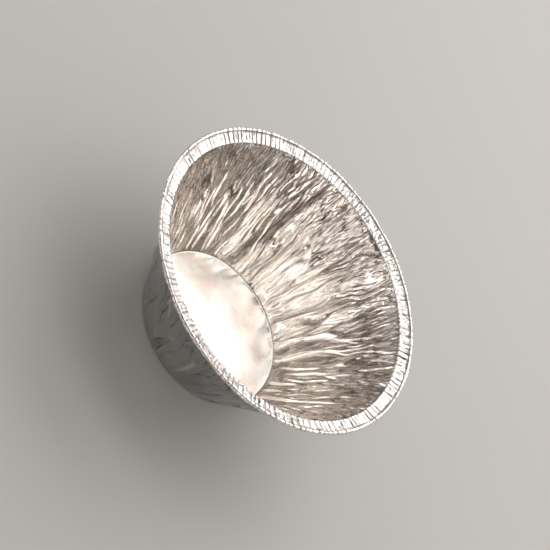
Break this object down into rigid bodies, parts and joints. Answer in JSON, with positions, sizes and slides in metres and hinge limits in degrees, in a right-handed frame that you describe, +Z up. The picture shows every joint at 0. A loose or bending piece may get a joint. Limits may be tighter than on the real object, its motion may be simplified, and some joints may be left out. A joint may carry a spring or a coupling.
{
  "type": "foil pie case",
  "caption": "Deep round pie case pressed from thin aluminium foil: a flat base, a tapered pleated wall and a crimped flange with a rolled edge.",
  "frame": {"origin": "on the table, under the middle of the base", "axes": "+Z up along the axis of the case, from the base to the open mouth; the case is the same all round, so +X and +Y are any two square directions across it"},
  "size_m": [0.1, 0.1, 0.0415],
  "materials": {
    "base_foil": "bright rolled foil, pressed flat",
    "wall_foil": "bright rolled foil, pleated and crumpled",
    "rim_foil": "bright rolled foil, crimped"
  },
  "bodies": {
    "root": {"base_panel": "base_foil", "heel_bend": "base_foil", "pleated_wall": "wall_foil", "crimped_flange": "rim_foil", "rolled_edge": "rim_foil"}
  },
  "joints": []
}
